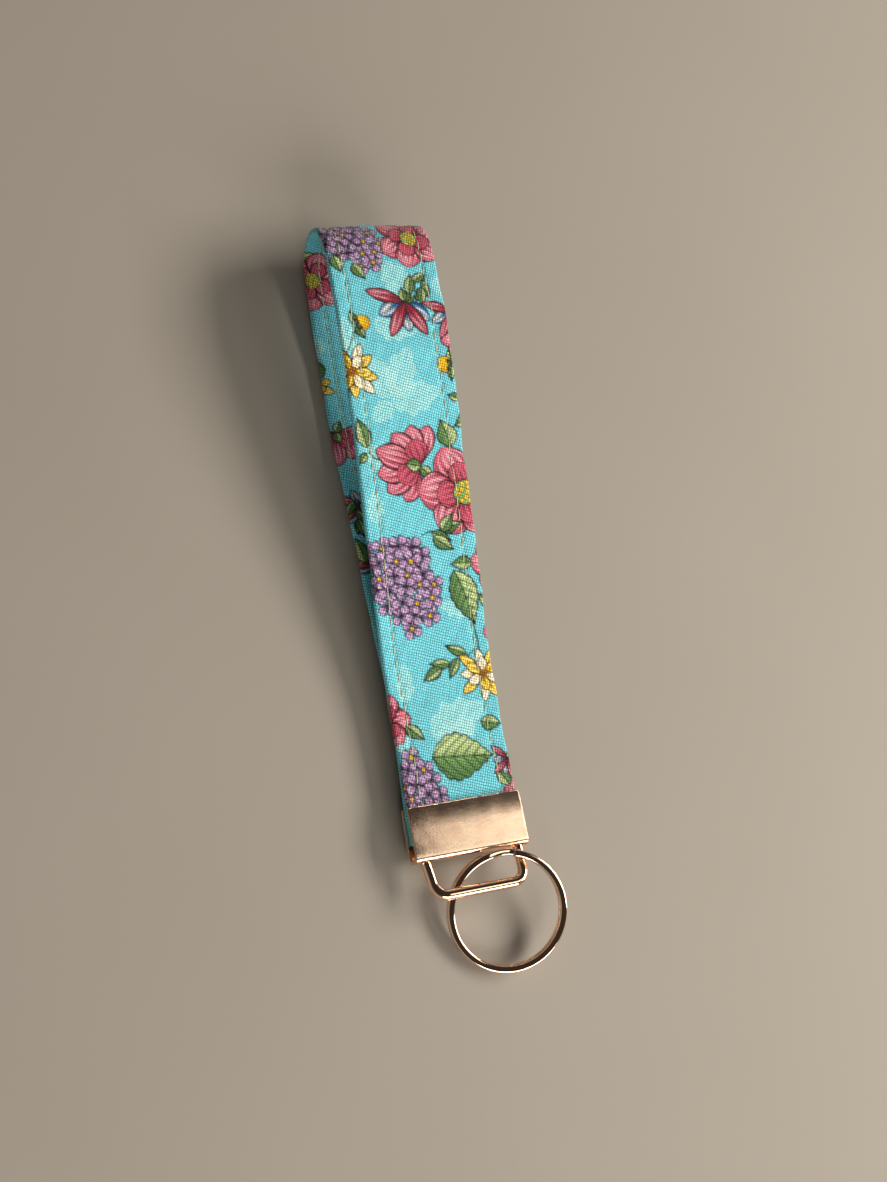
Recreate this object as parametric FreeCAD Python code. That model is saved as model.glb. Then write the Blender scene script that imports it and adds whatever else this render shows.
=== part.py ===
import FreeCAD, Part
import math
import os

Vector = FreeCAD.Vector

# Wristlet keychain: a folded cotton strap, bent into a loop and held at its two ends by a folded
# metal clamp, with a wire bail hinged in the clamp's fold and a split ring threaded on the bail.
#
# Millimetres. X runs across the strap, Y along it from the ring to the loop's far end, Z up.
# The origin is the centre of the clamp's flat back face. The object lies on a surface a little
# below that face, touched by the belly of the strap's lower layer and by the ring's low side.

# Clamp: one sheet folded into a U, open towards +Y
CLAMP_WIDTH = 25.4
CLAMP_FLAT = 10.3
CLAMP_BEND = 1.3
CLAMP_THICKNESS = 4.9
SHEET = 0.8
CLAMP_CORNER = 0.7
CLAMP_EDGE = 0.14
SAME_PLACE = 0.01
MID_HEIGHT = CLAMP_THICKNESS / 2
MOUTH_Y = CLAMP_FLAT / 2
FOLD_Y = -CLAMP_FLAT / 2 - CLAMP_BEND

# Slots in the fold that the bail's legs come out of
SLOT_INNER_X = 8.6
SLOT_OUTER_X = 12.25
SLOT_DEPTH = 3.0
SLOT_HEIGHT = 4.1

# Teeth pressed in from both plates to bite the fabric
TOOTH_COUNT = 7
TOOTH_PITCH = 2.4
TOOTH_BASE_R = 0.55
TOOTH_TIP_R = 0.08
TOOTH_HEIGHT = 0.6
TOOTH_ROOT = 0.1
TOOTH_SETBACK = 1.7

# Strap: printed cotton folded in four round a strip of interfacing
STRAP_WIDTH = 24.6
STRAP_THICKNESS = 1.5
CORE_WIDTH = 22.2
CORE_THICKNESS = 0.4

# Topstitching, one row along each edge, a needle thread outside and a bobbin thread inside
STITCH_MARGIN = 3.2
THREAD_WIDTH = 0.35
THREAD_THICKNESS = 0.12
THREAD_PROUD = 0.04
LAYER_GAP = 0.03

# Side profile of the loop, followed from the upper layer's end in the clamp, round the far end
# and back to the lower layer's end. A positive turn bends upwards while heading for +Y.
STRAP_END_Y = -2.5
CLAMPED_RUN = 20.0
UPPER_SWEEP_R = 135.0
UPPER_RISE_DEG = 10.0
UPPER_CROWN_R = 108.0
UPPER_DROP_DEG = 5.6
FAR_BEND_R = 7.4
LOWER_RISE_DEG = 6.6
BELLY_R = 290.0
LOWER_DROP_DEG = 2.0
LOWER_SWEEP_R = 120.0

# Bail: one length of round wire, its two ends meeting inside the fold
WIRE_R = 1.15
BAIL_HALF_AXLE = 10.65
BAIL_HALF_BAR = 9.95
BAIL_REACH = 9.4
BAIL_FOLD_CORNER_R = 1.6
BAIL_BAR_CORNER_R = 2.8
BAIL_SIDE_SHIFT = 0.3
BAIL_BUTT_GAP = 0.3
BAIL_REST_DEG = 13.0
AXLE_Y = FOLD_Y + SHEET + WIRE_R + 0.05

# Split ring: a flattened wire wound two turns, with one step between the turns
RING_OUTER_R = 12.8
RING_WIRE_WIDTH = 1.55
RING_WIRE_HEIGHT = 1.1
RING_WIRE_ROUND = 0.5
RING_TURN_GAP = 0.06
RING_STEP_DEG = 30.0
RING_STEP_END_DEG = 106.0
RING_STEP_SECTIONS = 9
RING_CENTRE = Vector(5.6, -19.05, 2.93)
RING_SLOPE_X = 0.179
RING_SLOPE_Y = 0.196


def side_point(y, z, x=0.0):
    """A point of a side profile, as a vector."""
    return Vector(x, y, z)


def left_normal(heading):
    """Unit vector to the left of a heading in the YZ plane, as (y, z)."""
    return -math.sin(heading), math.cos(heading)


def moved(state, step):
    """Where a straight run or an arc ends: (y, z, heading) after the step."""
    y, z, heading = state
    kind, size, turn = step
    if kind == "run":
        return y + size * math.cos(heading), z + size * math.sin(heading), heading
    side = math.copysign(1.0, turn)
    normal_y, normal_z = left_normal(heading)
    centre_y = y + side * size * normal_y
    centre_z = z + side * size * normal_z
    end_heading = heading + math.radians(turn)
    end_normal_y, end_normal_z = left_normal(end_heading)
    return centre_y - side * size * end_normal_y, centre_z - side * size * end_normal_z, end_heading


def half_step(step):
    """The first half of an arc."""
    kind, size, turn = step
    return kind, size, turn / 2


def strap_steps():
    """The loop's runs and arcs, with the two free runs solved so that the loop closes."""
    layer_offset = STRAP_THICKNESS / 2 + THREAD_PROUD + LAYER_GAP / 2
    start = (STRAP_END_Y, MID_HEIGHT + layer_offset, 0.0)
    goal = (STRAP_END_Y, MID_HEIGHT - layer_offset)

    def steps(upper_run, lower_run):
        return [
            ("run", CLAMPED_RUN, 0.0),
            ("arc", UPPER_SWEEP_R, UPPER_RISE_DEG),
            ("run", upper_run, 0.0),
            ("arc", UPPER_CROWN_R, -UPPER_RISE_DEG - UPPER_DROP_DEG),
            ("arc", FAR_BEND_R, -180.0 + UPPER_DROP_DEG + LOWER_RISE_DEG),
            ("arc", BELLY_R, -LOWER_RISE_DEG - LOWER_DROP_DEG),
            ("run", lower_run, 0.0),
            ("arc", LOWER_SWEEP_R, LOWER_DROP_DEG),
            ("run", CLAMPED_RUN, 0.0),
        ]

    def end_of(upper_run, lower_run):
        state = start
        for step in steps(upper_run, lower_run):
            state = moved(state, step)
        return state[0], state[1]

    base = end_of(0.0, 0.0)
    rise = math.radians(UPPER_RISE_DEG)
    drop = math.radians(180.0 - LOWER_DROP_DEG)
    need_y = goal[0] - base[0]
    need_z = goal[1] - base[1]
    determinant = math.cos(rise) * math.sin(drop) - math.sin(rise) * math.cos(drop)
    upper_run = (need_y * math.sin(drop) - need_z * math.cos(drop)) / determinant
    lower_run = (need_z * math.cos(rise) - need_y * math.sin(rise)) / determinant
    return start, steps(upper_run, lower_run)


def offset_edges(offset):
    """Edges of the loop's side profile moved outwards by offset from the strap's mid line."""
    state, steps = strap_steps()
    edges = []

    def shifted(place):
        normal_y, normal_z = left_normal(place[2])
        return side_point(place[0] + offset * normal_y, place[1] + offset * normal_z)

    for step in steps:
        end = moved(state, step)
        if step[0] == "run":
            edges.append(Part.LineSegment(shifted(state), shifted(end)).toShape())
        else:
            middle = moved(state, half_step(step))
            edges.append(Part.Arc(shifted(state), shifted(middle), shifted(end)).toShape())
        state = end
    return edges


def loop_band(inner_offset, outer_offset, low_x, high_x):
    """A band that follows the whole loop, between two offsets and two places across it."""
    inner = offset_edges(inner_offset)
    outer = offset_edges(outer_offset)
    start_cap = Part.LineSegment(inner[0].Vertexes[0].Point, outer[0].Vertexes[0].Point).toShape()
    end_cap = Part.LineSegment(inner[-1].Vertexes[-1].Point, outer[-1].Vertexes[-1].Point).toShape()
    wire = Part.Wire(inner + [end_cap] + outer[::-1] + [start_cap])
    face = Part.Face(wire)
    face.translate(Vector(low_x, 0, 0))
    return face.extrude(Vector(high_x - low_x, 0, 0))


def loop_length():
    """Length of the strap's mid line, end to end."""
    return sum(edge.Length for edge in offset_edges(0.0))


def clamp_teeth():
    """Small cones on the inside of both plates, just behind the mouth."""
    teeth = []
    first_x = -TOOTH_PITCH * (TOOTH_COUNT - 1) / 2
    y = MOUTH_Y - TOOTH_SETBACK
    low_z = SHEET - TOOTH_ROOT
    high_z = CLAMP_THICKNESS - SHEET + TOOTH_ROOT
    for index in range(TOOTH_COUNT):
        x = first_x + index * TOOTH_PITCH
        for base_z, direction in ((low_z, 1), (high_z, -1)):
            teeth.append(Part.makeCone(TOOTH_BASE_R, TOOTH_TIP_R, TOOTH_HEIGHT + TOOTH_ROOT,
                                       Vector(x, y, base_z), Vector(0, 0, direction)))
    return teeth


def clamp_outline(inset):
    """Side outline of the clamp, the outer one with no inset and the inner one with one sheet."""
    low_z = inset
    high_z = CLAMP_THICKNESS - inset
    bend = CLAMP_BEND - inset
    bend_y = -CLAMP_FLAT / 2
    web_y = bend_y - bend
    diagonal = bend * math.sqrt(0.5)
    edges = [
        Part.LineSegment(side_point(MOUTH_Y, low_z), side_point(bend_y, low_z)),
        Part.Arc(side_point(bend_y, low_z),
                 side_point(bend_y - diagonal, low_z + bend - diagonal),
                 side_point(web_y, low_z + bend)),
        Part.LineSegment(side_point(web_y, low_z + bend), side_point(web_y, high_z - bend)),
        Part.Arc(side_point(web_y, high_z - bend),
                 side_point(bend_y - diagonal, high_z - bend + diagonal),
                 side_point(bend_y, high_z)),
        Part.LineSegment(side_point(bend_y, high_z), side_point(MOUTH_Y, high_z)),
        Part.LineSegment(side_point(MOUTH_Y, high_z), side_point(MOUTH_Y, low_z)),
    ]
    solid = Part.Face(Part.Wire([edge.toShape() for edge in edges]))
    solid.translate(Vector(-CLAMP_WIDTH / 2, 0, 0))
    return solid.extrude(Vector(CLAMP_WIDTH, 0, 0))


def make_clamp():
    """The folded sheet: rounded mouth corners, softened outer edges, two slots, two rows of teeth."""
    block = clamp_outline(0.0)
    corners = []
    for edge in block.Edges:
        middle = edge.CenterOfMass
        upright = abs(edge.tangentAt(edge.FirstParameter).z) > 0.9
        if upright and abs(middle.y - MOUTH_Y) < SAME_PLACE:
            corners.append(edge)
    block = block.makeFillet(CLAMP_CORNER, corners)
    rims = []
    for edge in block.Edges:
        box = edge.BoundBox
        level = abs(box.ZMin - box.ZMax) < SAME_PLACE
        on_plate = box.ZMin < SAME_PLACE or box.ZMin > CLAMP_THICKNESS - SAME_PLACE
        at_bend_line = box.XLength > CLAMP_WIDTH / 2 and abs(box.YMin + CLAMP_FLAT / 2) < SAME_PLACE
        if level and on_plate and not at_bend_line:
            rims.append(edge)
    block = block.makeFillet(CLAMP_EDGE, rims)
    clamp = block.cut(clamp_outline(SHEET))
    for side in (-1, 1):
        low_x = min(side * SLOT_INNER_X, side * SLOT_OUTER_X)
        corner = Vector(low_x, -CLAMP_FLAT / 2 - SLOT_DEPTH, MID_HEIGHT - SLOT_HEIGHT / 2)
        slot = Part.makeBox(SLOT_OUTER_X - SLOT_INNER_X, SLOT_DEPTH, SLOT_HEIGHT, corner)
        clamp = clamp.cut(slot)
    for tooth in clamp_teeth():
        clamp = clamp.fuse(tooth)
    return clamp.removeSplitter()


def make_strap_fabric():
    """The folded cotton: a band with a hollow for the interfacing and a dent at every tooth."""
    half = STRAP_THICKNESS / 2
    band = loop_band(-half, half, -STRAP_WIDTH / 2, STRAP_WIDTH / 2)
    half_core = CORE_THICKNESS / 2
    hollow = loop_band(-half_core, half_core, -CORE_WIDTH / 2, CORE_WIDTH / 2)
    fabric = band.cut(hollow)
    threads = [make_thread(side, outside) for side in (-1, 1) for outside in (False, True)]
    return fabric.cut(clamp_teeth() + threads)


def make_interfacing():
    """The strip inside the fabric."""
    half_core = CORE_THICKNESS / 2
    return loop_band(-half_core, half_core, -CORE_WIDTH / 2, CORE_WIDTH / 2)


def make_thread(side, outside):
    """One thread of one stitch row, sunk in the fabric: side -1 or 1, outside or inside."""
    surface = STRAP_THICKNESS / 2 + THREAD_PROUD
    row_x = side * (STRAP_WIDTH / 2 - STITCH_MARGIN)
    low_x = row_x - THREAD_WIDTH / 2
    if outside:
        return loop_band(surface - THREAD_THICKNESS, surface, low_x, low_x + THREAD_WIDTH)
    return loop_band(-surface, -surface + THREAD_THICKNESS, low_x, low_x + THREAD_WIDTH)


def rounded_path(points, radii):
    """Straight runs joined by tangent arcs. The ends have no arc; radii are for inner points."""
    edges = []
    here = points[0]
    for index in range(1, len(points) - 1):
        corner = points[index]
        back = (points[index - 1] - corner).normalize()
        ahead = (points[index + 1] - corner).normalize()
        opening = back.getAngle(ahead)
        radius = radii[index - 1]
        reach = radius / math.tan(opening / 2)
        inward = (back + ahead).normalize()
        centre = corner + inward * (radius / math.sin(opening / 2))
        arc_start = corner + back * reach
        arc_end = corner + ahead * reach
        arc_middle = centre - inward * radius
        edges.append(Part.LineSegment(here, arc_start).toShape())
        edges.append(Part.Arc(arc_start, arc_middle, arc_end).toShape())
        here = arc_end
    edges.append(Part.LineSegment(here, points[-1]).toShape())
    return Part.Wire(edges)


def make_bail():
    """The bail's wire at rest, hinged about the axle in the fold, its bar raised a little."""
    gap = BAIL_BUTT_GAP / 2
    points = [
        Vector(gap, 0, 0),
        Vector(BAIL_HALF_AXLE, 0, 0),
        Vector(BAIL_HALF_BAR, -BAIL_REACH, 0),
        Vector(-BAIL_HALF_BAR, -BAIL_REACH, 0),
        Vector(-BAIL_HALF_AXLE, 0, 0),
        Vector(-gap, 0, 0),
    ]
    radii = [BAIL_FOLD_CORNER_R, BAIL_BAR_CORNER_R, BAIL_BAR_CORNER_R, BAIL_FOLD_CORNER_R]
    path = rounded_path(points, radii)
    section = Part.Wire(Part.Circle(points[0], Vector(1, 0, 0), WIRE_R).toShape())
    bail = path.makePipeShell([section], True, False)
    bail.rotate(Vector(0, 0, 0), Vector(1, 0, 0), -BAIL_REST_DEG)
    bail.translate(Vector(BAIL_SIDE_SHIFT, AXLE_Y, MID_HEIGHT))
    return bail


def ring_section(angle, height):
    """The ring wire's rounded section at an angle round the ring, centred at a height."""
    middle_r = RING_OUTER_R - RING_WIRE_WIDTH / 2
    half_w = RING_WIRE_WIDTH / 2
    half_h = RING_WIRE_HEIGHT / 2
    r = RING_WIRE_ROUND
    d = r * (1 - math.sqrt(0.5))
    outward = Vector(math.cos(angle), math.sin(angle), 0)

    def at(across, up):
        return outward * (middle_r + across) + Vector(0, 0, height + up)

    arcs = []
    corners = [(1, 1), (-1, 1), (-1, -1), (1, -1)]
    for index, (sx, sz) in enumerate(corners):
        flat_end = at(sx * half_w, sz * (half_h - r))
        cap_end = at(sx * (half_w - r), sz * half_h)
        bend = at(sx * (half_w - d), sz * (half_h - d))
        first, last = (flat_end, cap_end) if index % 2 == 0 else (cap_end, flat_end)
        arcs.append(Part.Arc(first, bend, last).toShape())
    edges = []
    for index, arc in enumerate(arcs):
        following = arcs[(index + 1) % len(arcs)]
        flat = Part.LineSegment(arc.Vertexes[-1].Point, following.Vertexes[0].Point)
        edges.append(arc)
        edges.append(flat.toShape())
    return Part.Wire(edges)


def ring_turn(start_deg, height):
    """One turn of the ring at a constant height, short of a full circle by the step."""
    face = Part.Face(ring_section(math.radians(start_deg), height))
    return face.revolve(Vector(0, 0, 0), Vector(0, 0, 1), 360.0 - RING_STEP_DEG)


def make_split_ring():
    """Two turns joined by the step, laid at the ring's resting tilt."""
    level = (RING_WIRE_HEIGHT + RING_TURN_GAP) / 2
    lower = ring_turn(RING_STEP_END_DEG, -level)
    upper = ring_turn(RING_STEP_END_DEG, level)
    sections = []
    for index in range(RING_STEP_SECTIONS):
        share = index / (RING_STEP_SECTIONS - 1)
        angle = math.radians(RING_STEP_END_DEG - RING_STEP_DEG * (1 - share))
        smooth = share * share * (3 - 2 * share)
        sections.append(ring_section(angle, level * (2 * smooth - 1)))
    step = Part.makeLoft(sections, True, False)
    ring = lower.fuse([step, upper])
    normal = Vector(-RING_SLOPE_X, -RING_SLOPE_Y, 1).normalize()
    tilt = FreeCAD.Rotation(Vector(0, 0, 1), normal)
    ring.Placement = FreeCAD.Placement(RING_CENTRE, tilt)
    return ring


def export(name, shape):
    """Write one node, and say what it is."""
    if shape.ShapeType != "Solid" and len(shape.Solids) == 1:
        shape = shape.Solids[0]
    shape.exportStep("parts/" + name + ".step")
    box = shape.BoundBox
    print(name, "solids", len(shape.Solids), "valid", shape.isValid(), "volume", round(shape.Volume, 2),
          "x", round(box.XMin, 2), round(box.XMax, 2), "y", round(box.YMin, 2), round(box.YMax, 2),
          "z", round(box.ZMin, 2), round(box.ZMax, 2))


os.makedirs("parts", exist_ok=True)
export("end_clamp", make_clamp())
export("strap_fabric", make_strap_fabric())
export("strap_interfacing", make_interfacing())
for side_name, side_sign in (("left", -1), ("right", 1)):
    export("needle_thread_" + side_name, make_thread(side_sign, True))
    export("bobbin_thread_" + side_name, make_thread(side_sign, False))
export("wire_bail", make_bail())
export("split_ring", make_split_ring())
print("strap mid line", round(loop_length(), 1))
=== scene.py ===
import math

import bpy
import numpy as np
from mathutils import Matrix, Vector


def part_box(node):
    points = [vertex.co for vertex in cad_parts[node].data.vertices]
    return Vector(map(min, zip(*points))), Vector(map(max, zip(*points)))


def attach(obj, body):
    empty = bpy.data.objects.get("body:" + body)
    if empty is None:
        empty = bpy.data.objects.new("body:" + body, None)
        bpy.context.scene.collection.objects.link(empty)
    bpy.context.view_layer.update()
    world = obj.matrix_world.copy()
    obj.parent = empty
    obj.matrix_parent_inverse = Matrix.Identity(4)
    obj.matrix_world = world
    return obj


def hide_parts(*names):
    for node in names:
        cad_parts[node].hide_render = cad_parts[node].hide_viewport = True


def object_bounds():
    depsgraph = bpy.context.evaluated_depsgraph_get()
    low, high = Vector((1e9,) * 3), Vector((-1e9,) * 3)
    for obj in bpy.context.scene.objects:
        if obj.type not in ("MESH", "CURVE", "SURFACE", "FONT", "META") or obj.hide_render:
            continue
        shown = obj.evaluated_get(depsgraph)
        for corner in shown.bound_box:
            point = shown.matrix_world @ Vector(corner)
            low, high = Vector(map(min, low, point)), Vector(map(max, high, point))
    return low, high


# Lengths are in millimetres up to the point where a mesh is made, and metres from there on.
MM = 0.001

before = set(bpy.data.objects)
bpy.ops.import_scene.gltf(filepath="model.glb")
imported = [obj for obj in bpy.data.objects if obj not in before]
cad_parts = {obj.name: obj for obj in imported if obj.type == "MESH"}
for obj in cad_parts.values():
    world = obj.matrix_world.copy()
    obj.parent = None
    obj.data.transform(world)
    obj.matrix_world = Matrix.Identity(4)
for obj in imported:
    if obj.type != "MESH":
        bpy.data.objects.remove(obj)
cad_low, cad_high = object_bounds()
strap_low, strap_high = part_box("strap_fabric")

# The strap and its side profile, as in the CAD source
STRAP_WIDTH = (strap_high.x - strap_low.x) / MM
STRAP_THICKNESS = 1.5
THREAD_PROUD = 0.04
LAYER_GAP = 0.03
CLAMP_THICKNESS = 4.9
MID_HEIGHT = CLAMP_THICKNESS / 2
STRAP_END_Y = -2.5
CLAMPED_RUN = 20.0
UPPER_SWEEP_R = 135.0
UPPER_RISE_DEG = 10.0
UPPER_CROWN_R = 108.0
UPPER_DROP_DEG = 5.6
FAR_BEND_R = 7.4
LOWER_RISE_DEG = 6.6
BELLY_R = 290.0
LOWER_DROP_DEG = 2.0
LOWER_SWEEP_R = 120.0

# The clamp
CLAMP_WIDTH = 25.4
CLAMP_FLAT = 10.3
CLAMP_BEND = 1.3
SHEET = 0.8
CLAMP_CORNER = 0.7
CLAMP_RIM = 0.16
CLAMP_BOW = 0.32
CLAMP_BOW_RUN = 5.0
CLAMP_STEP = 0.35
TOOTH_COUNT = 7
TOOTH_PITCH = 2.4
TOOTH_BASE_R = 0.55
TOOTH_TIP_R = 0.08
TOOTH_HEIGHT = 0.6
TOOTH_ROOT = 0.1
TOOTH_SETBACK = 1.7
TOOTH_SIDES = 12
MOUTH_Y = CLAMP_FLAT / 2
FOLD_Y = -CLAMP_FLAT / 2 - CLAMP_BEND
SLOT_INNER_X = 8.6
SLOT_OUTER_X = 12.25
SLOT_HEIGHT = 4.1

# The bail
WIRE_R = 1.15
BAIL_HALF_AXLE = 10.65
BAIL_HALF_BAR = 9.95
BAIL_REACH = 9.4
BAIL_FOLD_CORNER_R = 1.6
BAIL_BAR_CORNER_R = 2.8
BAIL_SIDE_SHIFT = 0.3
BAIL_BUTT_GAP = 0.3
BAIL_REST_DEG = 13.0
AXLE_Y = FOLD_Y + SHEET + WIRE_R + 0.05

# The split ring
RING_OUTER_R = 12.8
RING_WIRE_WIDTH = 1.55
RING_WIRE_HEIGHT = 1.1
RING_WIRE_ROUND = 0.5
RING_TURN_GAP = 0.06
RING_STEP_DEG = 30.0
RING_STEP_END_DEG = 106.0
RING_CENTRE = Vector((5.6, -19.05, 2.93))
RING_SLOPE_X = 0.179
RING_SLOPE_Y = 0.196

# The stitching: a thread dips through a hole at each stitch's ends and draws a groove in the cloth
STITCH_MARGIN = 3.2
STITCH_LENGTH = 3.0
STITCH_GAP = 0.10
STITCH_RADIUS = 0.13
STITCH_FLATNESS = 0.75
STITCH_END_DEPTH = 0.16
STITCH_ARCH = 0.24
ROW_DRIFT = 0.10
GROOVE_DEPTH = 0.13
GROOVE_RUN = 0.55
HOLE_DEPTH = 0.10
HOLE_RUN_ACROSS = 0.35
HOLE_RUN_ALONG = 0.45
PUCKER = 0.030
PUCKER_RUN = 1.5

# The folded cloth: how its edges turn in, and how it strays from flat and straight
TURN_R = 0.30
CUT_EDGE_INSET = 1.2
INNER_HEIGHT = 0.10
FREE_FROM = -1.0
FREE_TO = 9.0
RUMPLE = 0.035
CREASE = 0.020
EDGE_WAVE = 0.13
CUP = 0.22
LOWER_LEAN = 0.9
LOWER_LEAN_Y = 38.0
LOWER_LEAN_RUN = 30.0

# The cloth's threads, and the grids of its mesh and its print
WARP_PITCH = 0.51
WEFT_PITCH = 0.58
GRAIN_TURN_DEG = 20.5
CLOTH_STEP = 0.25
HIDDEN_STEP = 1.5
CANVAS_STEP = 0.1


def smooth(low, high, value):
    """Rises smoothly from 0 at low to 1 at high."""
    share = np.clip((value - low) / (high - low), 0.0, 1.0)
    return share * share * (3 - 2 * share)


def linear(red, green, blue):
    """An 8-bit sRGB colour as linear light."""
    values = np.array([red, green, blue], float) / 255
    return np.where(values <= 0.04045, values / 12.92, ((values + 0.055) / 1.055) ** 2.4)


# ---- the loop's side profile


def profile_steps():
    """The loop's runs and arcs as (kind, size, turn), and where it starts."""
    layer_offset = STRAP_THICKNESS / 2 + THREAD_PROUD + LAYER_GAP / 2
    start = (STRAP_END_Y, MID_HEIGHT + layer_offset, 0.0)
    goal_y = STRAP_END_Y
    goal_z = MID_HEIGHT - layer_offset

    def steps(upper_run, lower_run):
        return [
            ("run", CLAMPED_RUN, 0.0),
            ("arc", UPPER_SWEEP_R, UPPER_RISE_DEG),
            ("run", upper_run, 0.0),
            ("arc", UPPER_CROWN_R, -UPPER_RISE_DEG - UPPER_DROP_DEG),
            ("arc", FAR_BEND_R, -180.0 + UPPER_DROP_DEG + LOWER_RISE_DEG),
            ("arc", BELLY_R, -LOWER_RISE_DEG - LOWER_DROP_DEG),
            ("run", lower_run, 0.0),
            ("arc", LOWER_SWEEP_R, LOWER_DROP_DEG),
            ("run", CLAMPED_RUN, 0.0),
        ]

    y, z, heading = start
    for step in steps(0.0, 0.0):
        y, z, heading = step_end((y, z, heading), step, step_length(step))
    rise = math.radians(UPPER_RISE_DEG)
    drop = math.radians(180.0 - LOWER_DROP_DEG)
    need_y = goal_y - y
    need_z = goal_z - z
    determinant = math.cos(rise) * math.sin(drop) - math.sin(rise) * math.cos(drop)
    upper_run = (need_y * math.sin(drop) - need_z * math.cos(drop)) / determinant
    lower_run = (need_z * math.cos(rise) - need_y * math.sin(rise)) / determinant
    return start, steps(upper_run, lower_run)


def step_length(step):
    """Length of a run or an arc."""
    kind, size, turn = step
    return size if kind == "run" else size * abs(math.radians(turn))


def step_end(state, step, along):
    """Place and heading after going some way along a run or an arc."""
    y, z, heading = state
    kind, size, turn = step
    if kind == "run":
        return y + along * math.cos(heading), z + along * math.sin(heading), heading
    side = math.copysign(1.0, turn)
    end_heading = heading + side * along / size
    centre_y = y - side * size * math.sin(heading)
    centre_z = z + side * size * math.cos(heading)
    return (
        centre_y + side * size * math.sin(end_heading),
        centre_z - side * size * math.cos(end_heading),
        end_heading,
    )


def loop_profile():
    """The strap's mid line, smoothed a little: distance along, y, z and heading at close points."""
    state, steps = profile_steps()
    spacing = 0.5
    blur_reach = 12
    blur_width = 4.0
    places = []
    walked = 0.0
    for step in steps:
        length = step_length(step)
        count = max(2, round(length / spacing))
        for index in range(count):
            along = length * index / count
            places.append((walked + along, *step_end(state, step, along)[:2]))
        state = step_end(state, step, length)
        walked += length
    places.append((walked, *state[:2]))
    places = np.array(places)
    s = np.linspace(0, walked, round(walked / spacing) + 1)
    window = np.exp(-0.5 * (np.arange(-blur_reach, blur_reach + 1) / blur_width) ** 2)
    window /= window.sum()
    y, z = (np.interp(s, places[:, 0], places[:, axis]) for axis in (1, 2))
    for values in (y, z):
        values[blur_reach:-blur_reach] = np.convolve(values, window, mode="valid")
    heading = np.unwrap(np.arctan2(np.gradient(z, s), np.gradient(y, s)))
    return s, y, z, heading


LOOP_S, LOOP_Y, LOOP_Z, LOOP_HEADING = loop_profile()
LOOP_LENGTH = LOOP_S[-1]
FAR_S = LOOP_S[np.argmax(LOOP_Y)]


def upper_s(y):
    """Distance along the strap of the upper layer's point at a given y."""
    rising = LOOP_S <= FAR_S
    return float(np.interp(y, LOOP_Y[rising], LOOP_S[rising]))


def lower_s(y):
    """Distance along the strap of the lower layer's point at a given y."""
    falling = LOOP_S >= FAR_S
    return float(np.interp(-y, -LOOP_Y[falling], LOOP_S[falling]))


# ---- the strap's surface


def waves(s, seed, longest, shortest, count):
    """A smooth irregular wave of about unit height, the same every run."""
    maker = np.random.default_rng(seed)
    total = np.zeros_like(np.asarray(s, float))
    for index in range(count):
        wavelength = longest * (shortest / longest) ** (index / max(1, count - 1))
        phase = maker.uniform(0, 2 * math.pi)
        total = total + np.sin(2 * math.pi * s / wavelength + phase) * maker.uniform(0.6, 1.0)
    return total / math.sqrt(count / 2)


def free_share(s):
    """0 inside the clamp, rising from about its mouth to 1 on the free strap."""
    grip = MOUTH_Y - STRAP_END_Y
    from_end = np.minimum(s, LOOP_LENGTH - s)
    return smooth(grip + FREE_FROM, grip + FREE_TO, from_end)


def stitch_rows():
    """Where the two stitch rows run, across the strap."""
    row = STRAP_WIDTH / 2 - STITCH_MARGIN
    return -row, row


def row_drift(row, s):
    """How far a stitch row wanders sideways."""
    return ROW_DRIFT * waves(s, 11 if row < 0 else 12, 70.0, 23.0, 3)


def half_thickness(x, s):
    """Height of the cloth's face over the mid line, drawn in along the stitching and rumpled."""
    height = np.full(np.broadcast(x, s).shape, STRAP_THICKNESS / 2)
    free = free_share(s)
    phase = (s / STITCH_LENGTH) % 1.0
    to_hole = np.minimum(phase, 1 - phase) * STITCH_LENGTH
    for row in stitch_rows():
        across = x - row - row_drift(row, s)
        groove = GROOVE_DEPTH * np.exp(-((across / GROOVE_RUN) ** 2))
        near_hole = (across / HOLE_RUN_ACROSS) ** 2 + (to_hole / HOLE_RUN_ALONG) ** 2
        gather = np.cos(2 * math.pi * phase) * np.exp(-((across / PUCKER_RUN) ** 2))
        height = height - groove - HOLE_DEPTH * np.exp(-near_hole) - free * PUCKER * gather
    height = height + RUMPLE * free * waves(s + 0.7 * x, 21, 19.0, 6.0, 5)
    return height + CREASE * free * waves(s - 1.3 * x, 22, 11.0, 4.0, 4)


def on_strap(x, height, s):
    """A point of the strap in the part's millimetres, from its place across, height and distance."""
    y = np.interp(s, LOOP_S, LOOP_Y)
    z = np.interp(s, LOOP_S, LOOP_Z)
    heading = np.interp(s, LOOP_S, LOOP_HEADING)
    free = free_share(s)
    half = STRAP_WIDTH / 2
    share = (x + half) / (2 * half)
    left_wave = EDGE_WAVE * waves(s, 31, 60.0, 14.0, 4)
    right_wave = EDGE_WAVE * waves(s, 32, 55.0, 12.0, 4)
    lean = LOWER_LEAN * np.exp(-(((s - lower_s(LOWER_LEAN_Y)) / LOWER_LEAN_RUN) ** 2))
    across = x + free * (left_wave * (1 - share) + right_wave * share + lean)
    lift = height + free * CUP * (1 - (x / half) ** 2) * waves(s, 33, 140.0, 60.0, 2)
    place = (across, y - lift * np.sin(heading), z + lift * np.cos(heading))
    return np.stack(np.broadcast_arrays(*place), axis=-1)


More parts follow.
